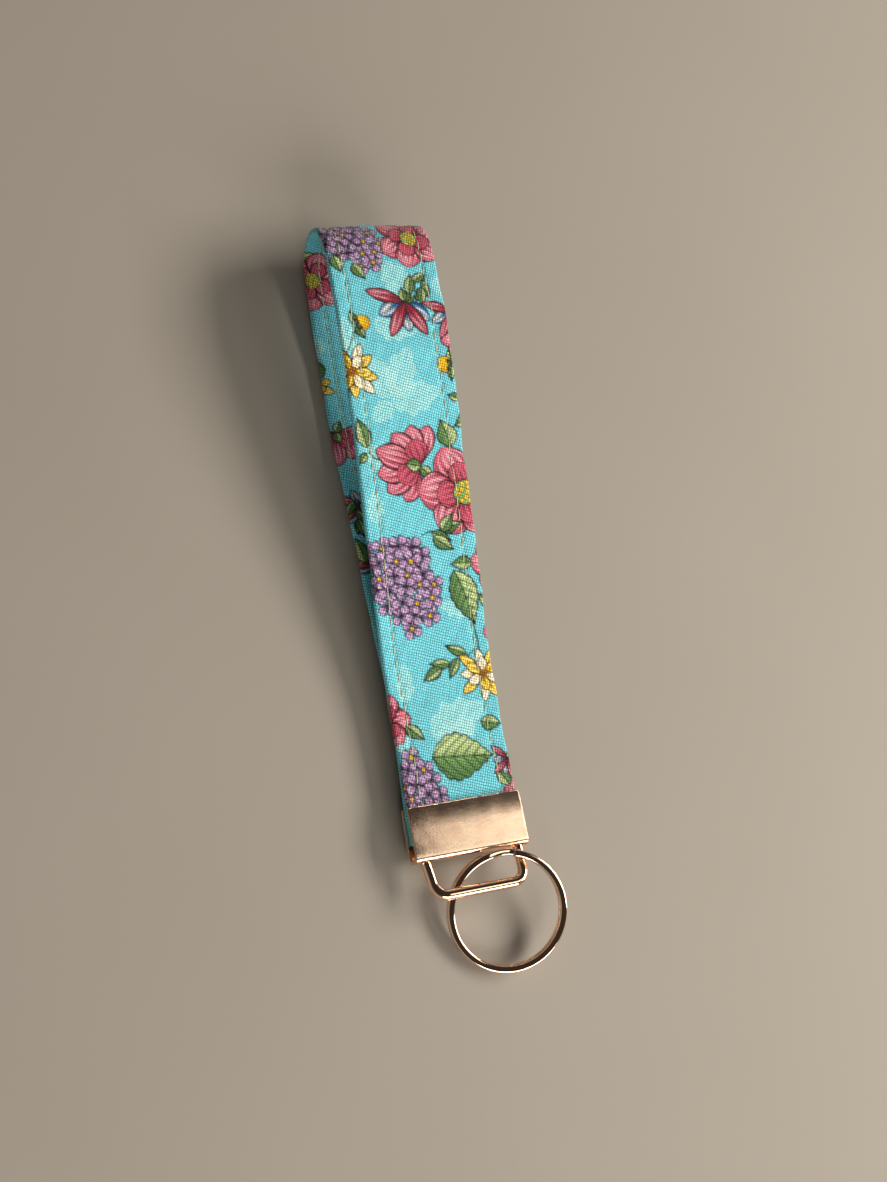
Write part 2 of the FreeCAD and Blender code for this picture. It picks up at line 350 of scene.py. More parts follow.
def strap_section():
    """The folded cloth across the strap as rows of (x, share of height, offset, place on the cloth).

    It follows one sheet: from its cut edge inside the upper half, round the right fold, over the
    outer face, round the left fold, over the inner face, round the right fold and back inside.
    Places are measured from the middle of the left fold and are positive on the outer face."""
    half = STRAP_WIDTH / 2
    fold_r = STRAP_THICKNESS / 2
    turn_steps = 7
    fold_steps = 12
    cut_x = -half + CUT_EDGE_INSET
    face_start = -half + fold_r
    face_end = half - TURN_R
    turn_length = math.pi * TURN_R
    fold_length = math.pi * fold_r
    outer_start = fold_length / 2
    outer_end = outer_start + face_end - face_start
    inner_end = outer_end + turn_length

    def flat_run(x_from, x_to, share, offset, step, place_from):
        count = max(2, round(abs(x_to - x_from) / step))
        return [
            (x, share, offset, place_from - abs(x - x_from))
            for x in np.linspace(x_from, x_to, count + 1)
        ]

    cut_place = inner_end + face_end - cut_x
    upper = flat_run(cut_x, face_end, 0.0, INNER_HEIGHT, HIDDEN_STEP, cut_place)
    for index in range(1, turn_steps):
        share = index / turn_steps
        x = face_end + TURN_R * math.sin(math.pi * share)
        upper.append((x, share, INNER_HEIGHT * (1 - share), inner_end - turn_length * share))
    upper += flat_run(face_end, face_start, 1.0, 0.0, CLOTH_STEP, outer_end)
    fold = []
    for index in range(1, fold_steps):
        share = index / fold_steps
        x = face_start - fold_r * math.sin(math.pi * share)
        fold.append((x, math.cos(math.pi * share), 0.0, outer_start - fold_length * share))
    lower = [(x, -share, -offset, -place) for x, share, offset, place in reversed(upper)]
    return np.array(upper + fold + lower)


def grid_faces(numbers):
    """The four-sided faces of a grid, from its points' numbers along and across."""
    corners = [
        numbers[..., :-1, :-1],
        numbers[..., 1:, :-1],
        numbers[..., 1:, 1:],
        numbers[..., :-1, 1:],
    ]
    return np.stack(corners, axis=-1).reshape(-1, 4)


def ring_faces(numbers):
    """The four-sided faces between a row of closed rings of points."""
    return grid_faces(np.concatenate([numbers, numbers[..., :1]], axis=-1))


def tube_faces(first, along, across):
    """The faces of a closed tube: round its rings, then one flat face over each end."""
    numbers = first + np.arange(along * across).reshape(along, across)
    sides = ring_faces(numbers)[:, (0, 3, 2, 1)]
    return sides.tolist() + [numbers[0, ::-1].tolist(), numbers[-1].tolist()]


def point_vectors(made, name, first, second):
    """Gives each point of a mesh two numbers, as a vector attribute that its material reads."""
    values = np.stack([first, second, np.zeros_like(first)], axis=-1)
    layer = made.data.attributes.new(name, "FLOAT_VECTOR", "POINT")
    layer.data.foreach_set("vector", values.astype(np.float32).ravel())


def mesh_object(name, points, faces):
    """A smooth-shaded mesh object, from points in millimetres and an array of quads or a list."""
    points = points.reshape(-1, 3) * MM
    mesh = bpy.data.meshes.new(name)
    if isinstance(faces, np.ndarray):
        mesh.vertices.add(len(points))
        mesh.vertices.foreach_set("co", points.astype(np.float32).ravel())
        mesh.loops.add(faces.size)
        mesh.loops.foreach_set("vertex_index", faces.astype(np.int32).ravel())
        mesh.polygons.add(len(faces))
        mesh.polygons.foreach_set("loop_start", np.arange(0, faces.size, 4, dtype=np.int32))
        mesh.update(calc_edges=True)
    else:
        mesh.from_pydata(points.tolist(), [], faces)
    mesh.shade_smooth()
    made = bpy.data.objects.new(name, mesh)
    bpy.context.scene.collection.objects.link(made)
    return made


# ---- the printed flowers


PALETTE = {
    "ground": linear(116, 208, 221),
    "ghost": linear(184, 238, 232),
    "ink": linear(26, 4, 12),
    "pink_pale": linear(242, 172, 184),
    "pink": linear(202, 84, 106),
    "pink_deep": linear(128, 26, 46),
    "purple_pale": linear(216, 190, 218),
    "purple": linear(166, 122, 170),
    "purple_deep": linear(88, 50, 92),
    "purple_ink": linear(30, 12, 34),
    "yellow": linear(250, 200, 30),
    "ochre": linear(160, 100, 10),
    "cream": linear(252, 244, 214),
    "straw": linear(248, 226, 128),
    "leaf_pale": linear(200, 216, 152),
    "leaf": linear(132, 174, 100),
    "leaf_deep": linear(38, 84, 42),
    "leaf_ink": linear(12, 28, 14),
    "blue": linear(46, 120, 178),
    "blue_deep": linear(20, 50, 100),
    "red": linear(196, 44, 76),
}


class Canvas:
    """The flat cloth as a fine raster: across is the place on the cloth, along the distance."""

    def __init__(self, across_low, across_high, along_high):
        self.low = across_low
        self.columns = round((across_high - across_low) / CANVAS_STEP)
        self.rows = round(along_high / CANVAS_STEP)
        self.ink = np.empty((self.rows, self.columns, 3), np.float32)
        self.ink[:] = PALETTE["ground"]
        self.across = across_low + (np.arange(self.columns) + 0.5) * CANVAS_STEP
        self.along = (np.arange(self.rows) + 0.5) * CANVAS_STEP

    def patch(self, centre, reach):
        """The raster window round a place, with the millimetre offsets from it."""
        columns, rows = (
            slice(*np.searchsorted(cells, (middle - reach, middle + reach)))
            for cells, middle in zip((self.across, self.along), centre)
        )
        dx = self.across[columns][None, :] - centre[0]
        dy = self.along[rows][:, None] - centre[1]
        return (rows, columns), dx, dy

    def lay(self, window, colour, cover):
        """Lays ink over a window. cover is how much of it shows, 0 to 1."""
        if cover.size:
            share = np.clip(cover, 0, 1)[..., None]
            self.ink[window] += (colour - self.ink[window]) * share

    def sample(self, across, along):
        """The colour at places on the cloth, averaged over four raster cells close by."""
        nudge = 0.06
        total = 0.0
        for right, ahead in ((-nudge, -nudge), (-nudge, nudge), (nudge, -nudge), (nudge, nudge)):
            column = self.cell(across + right - self.low, self.columns)
            row = self.cell(along + ahead, self.rows)
            total = total + self.ink[row, column]
        return total / 4

    @staticmethod
    def cell(distance, count):
        """The number of the raster cell at a distance from the first one's edge."""
        return np.clip(np.rint(distance / CANVAS_STEP - 0.5).astype(int), 0, count - 1)


def edge_cover(distance):
    """How much of a raster cell a shape covers, from its distance inside the shape's edge."""
    return np.clip(distance / CANVAS_STEP + 0.5, 0, 1)


def toned(shade, colour, amount):
    """A shade moved towards a colour, by an amount for each raster cell."""
    return shade + (colour - shade) * amount[..., None]


def zigzag(value):
    """1 at whole numbers, 0 half way between them."""
    return np.abs(value % 1.0 - 0.5) * 2


def reached(place, away, angle):
    """The place some way off from another."""
    return place[0] + away * math.cos(angle), place[1] + away * math.sin(angle)


def blade(canvas, foot, angle, length, width, bend):
    """The window over a petal or leaf: along and beside its curved middle, and share of its length."""
    window, dx, dy = canvas.patch(foot, length + width)
    along = dx * math.cos(angle) + dy * math.sin(angle)
    side = -dx * math.sin(angle) + dy * math.cos(angle)
    share = np.clip(along / length, 0, 1)
    return window, along, side - bend * length * share**2, share


def inside_blade(half, along, side, length, end_slope):
    """Distance inside the edge of a petal or leaf of a given half width."""
    return np.minimum(half - np.abs(side), np.minimum(along, length - along) * end_slope)


def discs(canvas, centre, reach, *rounds):
    """Round spots over one another, given as radius and colour."""
    window, dx, dy = canvas.patch(centre, reach)
    for radius, colour in rounds:
        canvas.lay(window, colour, edge_cover(radius - np.hypot(dx, dy)))


def petal(canvas, foot, angle, length, width, colours, blunt=0.5, bend=0.0, line=0.20, veins=5):
    """One petal: a pointed or blunt oval from its foot, shaded, hatched and outlined.

    colours are (deep at the foot, middle, pale highlight, outline)."""
    deep, middle, pale, outline = colours
    window, along, side, share = blade(canvas, foot, angle, length, width, bend)
    peak = share ** (0.55 + 0.9 * blunt)
    half = np.maximum(width / 2 * np.sin(math.pi * peak) ** 0.75, 1e-3)
    distance = inside_blade(half, along, side, length, 1.5)
    place = np.clip(side / half, -1, 1)
    shade = toned(deep, middle, smooth(0.0, 0.42, share + 0.10 * place))
    glow = np.exp(-(((share - 0.70) / 0.22) ** 2) - ((place + 0.25) / 0.55) ** 2)
    shade = toned(shade, pale, glow * 0.55)
    stroke = np.abs((place * veins * (0.6 + 0.4 * share) + 0.35 * np.sin(5.0 * share)) % 2.0 - 1.0)
    from_tip = smooth(0.30, 0.55, share) * (1 - smooth(0.86, 0.97, share))
    shade = toned(shade, np.minimum(pale * 1.15, 1.0), smooth(0.62, 0.92, 1 - stroke) * from_tip * 0.75)
    from_foot = smooth(0.62, 0.90, stroke) * (1 - smooth(0.50, 0.90, share))
    shade = toned(shade, deep * 0.6, from_foot * 0.85)
    canvas.lay(window, shade, edge_cover(distance))
    rim = edge_cover(line * 0.6 - np.abs(distance - line * 0.2)) * edge_cover(distance + line)
    canvas.lay(window, outline, rim)


def leaf(canvas, foot, angle, length, width, bend=0.12, pale_side=1.0):
    """A leaf: two-tone halves, a dark middle vein and slanting side veins."""
    window, along, side, share = blade(canvas, foot, angle, length, width, bend)
    teeth = 0.05 * width * np.abs(np.sin(share * math.pi * 6))
    half = np.maximum(width / 2 * np.sin(math.pi * share**0.75) ** 1.15 + teeth * (share < 0.9), 1e-3)
    distance = inside_blade(half, along, side, length, 1.2)
    cover = edge_cover(distance)
    place = side / half * pale_side
    shade = toned(PALETTE["leaf_deep"], PALETTE["leaf"], 0.35 + 0.65 * smooth(-0.9, 0.6, place))
    shade = toned(shade, PALETTE["leaf_pale"], smooth(-0.15, 0.50, place) * 0.88)
    slant = along - np.abs(side) * 0.7 - side**2 * (0.9 / width)
    ribs = smooth(0.66, 0.94, zigzag(slant / max(0.9, length / 6)))
    shade = toned(shade, PALETTE["leaf_deep"] * 0.8, ribs * 0.85)
    canvas.lay(window, shade, cover)
    canvas.lay(window, PALETTE["leaf_ink"], edge_cover(0.13 - np.abs(side)) * cover)
    rim = edge_cover(0.17 - np.abs(distance - 0.03)) * edge_cover(distance + 0.2)
    canvas.lay(window, PALETTE["leaf_ink"], rim)


def ghost_leaf(canvas, foot, angle, length, width, bend=0.1):
    """A tone-on-tone leaf behind the flowers, with a fine lighter net of veins."""
    window, along, side, share = blade(canvas, foot, angle, length, width, bend)
    lobes = 1 + 0.16 * np.sin(share * math.pi * 7)
    half = np.maximum(width / 2 * np.sin(math.pi * share**0.75) ** 0.8 * lobes, 1e-3)
    distance = inside_blade(half, along, side, length, 1.0)
    rib = zigzag((along - np.abs(side) * 1.2) / 1.3)
    fine = zigzag((along + side * 2.3) / 0.9)
    net = 0.40 + 0.40 * smooth(0.6, 0.9, rib) + 0.10 * smooth(0.6, 0.95, fine)
    net = net - 0.35 * edge_cover(0.14 - np.abs(side))
    rim = edge_cover(0.16 - np.abs(distance - 0.05)) * 0.55
    canvas.lay(window, PALETTE["ghost"], edge_cover(distance) * np.clip(net + rim, 0, 0.95))


def stem(canvas, start, end, sag, width=0.28):
    """A thin curved stalk between two places on the cloth."""
    count = max(4, round(math.dist(start, end) / 0.12))
    start = np.array(start, float)
    direction = np.array(end, float) - start
    across = np.array([-direction[1], direction[0]]) * sag
    for index in range(count + 1):
        share = index / count
        place = start + direction * share + across * 4 * share * (1 - share)
        discs(canvas, place, 1.0, (width / 2, PALETTE["leaf_deep"] * 0.8))


def dots(canvas, centre, reach, count, radius, colour, seed):
    """Small dark-edged dots scattered round a place, such as a flower's stamens."""
    maker = np.random.default_rng(seed)
    for index in range(count):
        away = reach * math.sqrt((index + 0.5) / count) * maker.uniform(0.85, 1.1)
        place = reached(centre, away, index * 2.4)
        edge = (radius + 0.12, PALETTE["ochre"] * 0.5)
        discs(canvas, place, radius + 0.6, edge, (radius, colour))


def petal_inks(*shades):
    """A petal's four colours, from names in the palette and how bright each is."""
    return tuple(PALETTE[name] * bright for name, bright in zip(shades[::2], shades[1::2]))


PINK_PETAL = petal_inks("pink_deep", 1.0, "pink", 1.0, "pink_pale", 1.0, "ink", 1.0)
ROSE_PETAL = petal_inks("pink_deep", 0.8, "pink", 0.85, "pink", 1.1, "ink", 1.0)
PURPLE_PETAL = petal_inks("purple_deep", 1.0, "purple", 1.0, "purple_pale", 1.0, "purple_ink", 1.0)
DAISY_PETAL = petal_inks("yellow", 1.0, "cream", 1.0, "cream", 1.0, "ochre", 0.12)
GOLD_PETAL = petal_inks("ochre", 1.0, "yellow", 1.0, "straw", 1.0, "ochre", 0.12)
BLUE_PETAL = petal_inks("blue_deep", 1.0, "blue", 1.0, "cream", 1.0, "blue_deep", 0.5)
RED_PETAL = petal_inks("pink_deep", 0.7, "red", 0.7, "pink_pale", 0.8, "ink", 1.0)


def open_blossom(canvas, centre, size, angle, seed):
    """A pink blossom seen from the front: broad overlapping petals and a tuft of stamens."""
    maker = np.random.default_rng(seed)
    for ring, (count, reach, width) in enumerate(((6, 1.0, 0.80), (4, 0.66, 0.58))):
        for index in range(count):
            turn = angle + 2 * math.pi * (index + 0.5 * ring) / count + maker.uniform(-0.14, 0.14)
            length = size * reach * maker.uniform(0.90, 1.06)
            colours = ROSE_PETAL if ring else PINK_PETAL
            petal(canvas, centre, turn, length, size * width, colours, 1.0, veins=6, line=0.32)
    discs(canvas, centre, size, (size * 0.27, PALETTE["leaf_ink"]), (size * 0.24, PALETTE["leaf"]))
    dots(canvas, centre, size * 0.24, 12, max(0.22, size * 0.040), PALETTE["yellow"], seed)


def side_blossom(canvas, foot, size, angle, seed):
    """A pink blossom seen from the side: petals fanned out from a green cup."""
    maker = np.random.default_rng(seed)
    for spread in (-1.30, 1.30, -0.90, 0.90, -0.42, 0.46, 0.02):
        turn = angle + spread + maker.uniform(-0.06, 0.06)
        length = size * (1.0 - 0.12 * abs(spread)) * maker.uniform(0.94, 1.05)
        petal(canvas, foot, turn, length, size * 0.52, PINK_PETAL, 0.9, 0.12 * spread, 0.32, 5)
    for spread in (-1.0, 0.9):
        petal(canvas, foot, angle + spread, size * 0.58, size * 0.50, ROSE_PETAL, 1.0, veins=4)
    leaf(canvas, foot, angle + 0.2, size * 0.34, size * 0.26, 0.0)
    leaf(canvas, foot, angle + math.pi * 0.85, size * 0.36, size * 0.24, 0.0)


def star_flower(canvas, cap, size, angle):
    """A nodding flower: three broad blue petals, and over them three long red ones, from a green cap."""
    for colours, spreads, length, width in (
        (BLUE_PETAL, (-0.45, 0.72, 1.55), 0.78, 0.42),
        (RED_PETAL, (-1.20, 1.20, 0.20), 1.0, 0.34),
    ):
        for spread in spreads:
            turn = angle + spread
            petal(canvas, cap, turn, size * length, size * width, colours, 0.6, veins=3, line=0.24)
    for spread in (-0.5, 0.1, 0.7):
        leaf(canvas, cap, angle + math.pi + spread, size * 0.36, size * 0.22, 0.0)


def daisy(canvas, centre, size, angle, seed):
    """A daisy with two rows of narrow cream and yellow petals."""
    maker = np.random.default_rng(seed)
    for ring, (count, reach) in enumerate(((9, 1.0), (6, 0.66))):
        for index in range(count):
            turn = angle + 2 * math.pi * (index + 0.5 * ring) / count + maker.uniform(-0.12, 0.12)
            colours = GOLD_PETAL if (index + ring) % 2 == 0 else DAISY_PETAL
            length = size * reach * maker.uniform(0.88, 1.08)
            petal(canvas, centre, turn, length, size * 0.36, colours, 0.9, veins=2, line=0.26)
    dots(canvas, centre, size * 0.14, 5, size * 0.06, PALETTE["ochre"], seed)


def round_bud(canvas, centre, size, angle):
    """A yellow bud in green sepals."""
    foot = reached(centre, -size * 0.5, angle)
    for spread in (1.5, -1.5):
        leaf(canvas, foot, angle + spread, size * 1.1, size * 0.6, 0.1)
    window, dx, dy = canvas.patch(centre, size)
    distance = size * 0.52 - np.hypot(dx, dy)
    light = smooth(-0.3, 0.9, 1 - np.hypot(dx + size * 0.15, dy - size * 0.15) / (size * 0.6))
    canvas.lay(window, PALETTE["ochre"] * 0.25, edge_cover(distance + 0.18))
    shade = toned(PALETTE["ochre"], PALETTE["yellow"], 0.45 + 0.55 * light)
    canvas.lay(window, shade, edge_cover(distance))
    for spread in (-0.9, 0.9):
        leaf(canvas, foot, angle + spread, size * 0.5, size * 0.26, 0.1)


def floret(canvas, centre, size, angle, eye):
    """One four-petalled floret of a cluster, with or without a yellow eye."""
    for index in range(4):
        turn = angle + math.pi / 2 * index
        petal(canvas, centre, turn, size, size * 0.94, PURPLE_PETAL, 1.25, line=0.25, veins=3)
    if eye:
        radius = size * 0.17
        edge = (radius + 0.16, PALETTE["purple_ink"])
        discs(canvas, centre, size, edge, (radius, PALETTE["yellow"] * 0.8))


def cluster(canvas, centre, reach_across, reach_along, floret_size, seed, lean=0.0):
    """A head of many small florets, the outer ones laid first. It may lean, and taper as it does."""
    maker = np.random.default_rng(seed)
    pitch = floret_size * 1.42
    places = []
    rows = int(max(reach_across, reach_along) / pitch) + 2
    for row in range(-rows, rows + 1):
        for column in range(-rows, rows + 1):
            x = (column + 0.5 * (row % 2)) * pitch + maker.uniform(-0.22, 0.22) * floret_size
            y = row * pitch * 0.87 + maker.uniform(-0.22, 0.22) * floret_size
            reach = reach_across * (1 + abs(lean) * y / reach_along)
            away = math.hypot(x / reach, y / reach_along)
            if away < 1.0 + maker.uniform(-0.14, 0.08):
                places.append((away, x - lean * y, y))
    places.sort(reverse=True)
    for number, (away, x, y) in enumerate(places):
        size = floret_size * maker.uniform(0.92, 1.10)
        angle = maker.uniform(0, math.pi / 2)
        floret(canvas, (centre[0] + x, centre[1] + y), size, angle, number % 2 == 0)


def sprig(canvas, foot, angle, length, leaf_size, count):
    """A twig with leaves in turn on either side."""
    end = reached(foot, length, angle)
    stem(canvas, foot, end, 0.06)
    for index in range(count):
        share = (index + 1) / count
        side = 1 if index % 2 else -1
        place = (foot[0] + (end[0] - foot[0]) * share, foot[1] + (end[1] - foot[1]) * share)
        turn = angle + side * 0.75 * (1.2 - share)
        leaf(canvas, place, turn, leaf_size * (1.1 - 0.25 * share), leaf_size * 0.42, 0.1 * side, side)
    leaf(canvas, end, angle, leaf_size, leaf_size * 0.45)


def upper_place(x, y):
    """The place on the cloth of a point on the upper layer's outer face."""
    return x + STRAP_WIDTH / 2, upper_s(y)


def lower_place(x, y):
    """The place on the cloth of a point on the lower layer's inner face, seen through the loop."""
    return -(x + STRAP_WIDTH / 2), lower_s(y)


# Tone-on-tone leaves listed one by one on the upper face: x, y, angle, length and width
UPPER_GHOSTS = (
    (-2.6, 90.5, 2.0, 10.5, 6.6),
    (-2.2, 91.0, 1.0, 11.0, 6.8),
    (-2.4, 89.5, 0.05, 11.5, 6.8),
    (-2.6, 89.0, -2.6, 6.0, 4.0),
    (-3.5, 19.5, 0.25, 13.5, 9.0),
    (-8.5, 27.0, 1.3, 8.0, 3.6),
    (5.0, 112.0, 2.0, 9.5, 6.4),
    (-9.5, 64.5, 1.4, 7.0, 3.4),
    (-10.5, 100.0, 1.5, 8.0, 3.2),
)
# Motifs listed one by one, in the order they are laid: what, x and y, then what its function asks for
UPPER_MOTIFS = (
    (stem, -8.5, 109.0, upper_place(-11.5, 100.0), 0.10),
    (cluster, -5.6, 124.6, 6.8, 6.0, 2.1, 41, 0.15),
    (leaf, -10.5, 122.0, -1.4, 4.2, 2.5),
    (leaf, -6.6, 119.8, -1.1, 4.4, 2.4),
    (open_blossom, 7.6, 125.4, 7.4, 0.4, 42),
    (sprig, 10.0, 118.5, -1.9, 5.0, 4.4, 3),
    (star_flower, 3.6, 110.8, 8.8, -2.27),
    (leaf, 5.0, 112.4, 1.2, 4.6, 2.4),
    (star_flower, 14.0, 108.0, 6.8, -2.3),
    (round_bud, -6.6, 106.5, 3.1, 0.3),
    (daisy, -10.6, 96.2, 6.4, 0.5, 46),
    (leaf, -12.6, 92.5, -2.3, 4.0, 2.2),
    (round_bud, 10.6, 96.6, 3.2, 3.0),
    (leaf, 13.0, 89.0, 2.6, 2.8, 1.8),
    (stem, -9.3, 79.4, upper_place(-4.4, 77.0), -0.14),
    (leaf, -9.4, 80.2, 1.75, 6.6, 3.1, 0.05),
    (leaf, -9.6, 79.0, -2.4, 2.8, 1.7),
    (leaf, 10.0, 79.0, 1.85, 6.4, 4.4, 0.08, -1),
    (side_blossom, 2.2, 75.4, 10.4, 2.7, 47),
    (open_blossom, 11.6, 69.2, 10.6, 0.9, 48),
    (sprig, 0.5, 61.0, 0.15, 4.6, 5.0, 2),
    (leaf, 5.0, 61.5, 0.75, 4.6, 2.6),
    (leaf, 3.0, 60.5, -0.75, 5.4, 2.8),
    (cluster, -4.6, 50.4, 8.2, 10.8, 2.4, 50, 0.30),
    (leaf, 6.8, 53.0, -1.22, 12.6, 5.8, -0.06),
    (stem, 9.6, 42.4, upper_place(10.2, 34.0), 0.05),
    (sprig, 9.5, 36.0, 3.5, 9.0, 5.0, 4),
    (daisy, 10.6, 30.6, 6.2, 1.0, 52),
    (open_blossom, -13.6, 23.0, 6.0, 0.2, 53),
    (leaf, -8.9, 22.0, -0.9, 5.0, 2.6),
    (stem, -3.2, 16.5, upper_place(-7.5, 12.0), 0.1),
    (leaf, -4.6, 14.6, -0.12, 14.0, 9.4, 0.02),
    (leaf, 8.0, 20.6, -0.35, 4.8, 3.2),
    (cluster, -8.8, 9.6, 5.8, 6.4, 2.35, 54),
    (star_flower, 12.4, 12.0, 4.6, 3.6),
)
LOWER_MOTIFS = (
    (open_blossom, -10.5, 123.0, 7.0, 0.3, 61),
    (leaf, -11.6, 101.0, -1.2, 5.0, 2.6),
    (side_blossom, -11.0, 88.0, 8.0, 1.5, 62),
    (sprig, -10.2, 74.0, 1.6, 6.0, 4.4, 3),
    (leaf, -10.6, 58.0, -1.5, 6.0, 3.0),
)


def scattered_motif(canvas, number, place, turn):
    """One of eight kinds of motif, taken in turn, at a place on the cloth."""
    kind = (number - 1) % 8
    if kind == 0:
        open_blossom(canvas, place, 7.0, turn, number)
        leaf(canvas, reached(place, 6.0, turn), turn, 5.0, 2.8)
    elif kind == 1:
        cluster(canvas, place, 6.6, 7.6, 2.3, number)
    elif kind == 2:
        side_blossom(canvas, place, 7.0, turn, number)
    elif kind == 3:
        daisy(canvas, place, 5.2, turn, number)
    elif kind == 4:
        sprig(canvas, place, turn, 6.0, 4.4, 4)
    elif kind == 5:
        star_flower(canvas, place, 5.8, turn)
    elif kind == 6:
        leaf(canvas, place, turn, 8.4, 4.8)
        leaf(canvas, place, turn + 2.2, 5.0, 2.8)
    else:
        round_bud(canvas, place, 2.6, turn)


def paint_cloth():
    """The whole cloth's print: the strap's upper face from the listed motifs, the rest filled in
    likewise.
    """
    half_cloth = 2 * STRAP_WIDTH + 2.0
    canvas = Canvas(-half_cloth, half_cloth, LOOP_LENGTH)
    maker = np.random.default_rng(5)
    # tone-on-tone leaves first, all over
    across_pitch = 10.5
    along_pitch = 11.0
    ghost_chance = 0.30
    for row in range(26):
        for column in range(-5, 5):
            across = column * across_pitch + maker.uniform(-3, 3)
            place = (across, row * along_pitch + maker.uniform(-3, 3))
            if maker.uniform() < ghost_chance:
                turn, length, width = (maker.uniform(*ends) for ends in ((0, 6.28), (7, 10), (4, 6)))
                ghost_leaf(canvas, place, turn, length, width)
    for x, y, turn, length, width in UPPER_GHOSTS:
        ghost_leaf(canvas, upper_place(x, y), turn, length, width)

    # flowers elsewhere on the cloth, spaced out and clear of the upper face
    tries = 900
    spacing = 12.5
    margin = 1.5
    upper_end = upper_s(131.0) + 4
    taken = []
    for _ in range(tries):
        place = (maker.uniform(-half_cloth, half_cloth), maker.uniform(0, LOOP_LENGTH))
        turn = maker.uniform(0, 2 * math.pi)
        on_upper = -margin < place[0] < STRAP_WIDTH + margin and 0.0 < place[1] < upper_end
        if on_upper or any(math.dist(place, other) < spacing for other in taken):
            continue
        taken.append(place)
        scattered_motif(canvas, len(taken), place, turn)

    for to_cloth, motifs in ((upper_place, UPPER_MOTIFS), (lower_place, LOWER_MOTIFS)):
        for draw, x, y, *how in motifs:
            draw(canvas, to_cloth(x, y), *how)
    return canvas


# ---- node materials


class Nodes:
    """A material's node tree, with short ways to add and join nodes."""

    def __init__(self, name):
        self.material = bpy.data.materials.new(name)
        self.material.use_nodes = True
        self.tree = self.material.node_tree
        self.tree.nodes.clear()
        self.shader = self.tree.nodes.new("ShaderNodeBsdfPrincipled")
        output = self.tree.nodes.new("ShaderNodeOutputMaterial")
        self.feed(output.inputs["Surface"], self.shader.outputs[0])

    def feed(self, socket, value):
        """Joins an input socket to another node's output, or gives it a fixed value."""
        if isinstance(value, bpy.types.NodeSocket):
            self.tree.links.new(value, socket)
        else:
            socket.default_value = value

    def to_shader(self, name, value):
        self.feed(self.shader.inputs[name], value)

    def add(self, kind, inputs=None, settings=None):
        node = self.tree.nodes.new(kind)
        for name, value in (settings or {}).items():
            setattr(node, name, value)
        for name, value in (inputs or {}).items():
            self.feed(node.inputs[name], value)
        return node

    def attribute(self, name, output):
        return self.add("ShaderNodeAttribute", {}, {"attribute_name": name}).outputs[output]

    def object_place(self):
        return self.add("ShaderNodeTexCoord").outputs["Object"]

    def mapped(self, vector, **changes):
        return self.add("ShaderNodeMapping", {"Vector": vector, **changes}).outputs[0]

    def maths(self, operation, first, second=0.0):
        inputs = {0: first, 1: second}
        return self.add("ShaderNodeMath", inputs, {"operation": operation}).outputs[0]

    def noise(self, vector, scale, detail=3.0, roughness=0.5):
        inputs = {"Vector": vector, "Scale": scale, "Detail": detail, "Roughness": roughness}
        return self.add("ShaderNodeTexNoise", inputs).outputs["Fac"]

    def ramp(self, value, low, high, to_low=0.0, to_high=1.0):
        inputs = {"Value": value, "From Min": low, "From Max": high, "To Min": to_low, "To Max": to_high}
        return self.add("ShaderNodeMapRange", inputs).outputs["Result"]

    def mix_colour(self, share, first, second, blend="MIX"):
        settings = {"data_type": "RGBA", "blend_type": blend}
        return self.add("ShaderNodeMix", {0: share, 6: first, 7: second}, settings).outputs[2]

    def shaded(self, colour, shade):
        """A colour made lighter or darker all over by a number."""
        tint = self.add("ShaderNodeCombineColor", {0: shade, 1: shade, 2: shade}).outputs[0]
        return self.mix_colour(1.0, colour, tint, "MULTIPLY")

    def bump(self, height, strength, distance):
        inputs = {"Height": height, "Strength": strength, "Distance": distance}
        self.to_shader("Normal", self.add("ShaderNodeBump", inputs).outputs["Normal"])


def weave_height(nodes, across, along):
    """Plain weave: each crossing shows the warp or the weft as a little rounded hump."""
    waves_over = [
        nodes.maths("SINE", nodes.maths("MULTIPLY", place, math.pi / pitch))
        for place, pitch in ((across, WARP_PITCH), (along, WEFT_PITCH))
    ]
    checker = nodes.maths("MULTIPLY", *waves_over)
    return nodes.maths("POWER", nodes.maths("ABSOLUTE", checker), 0.6), checker


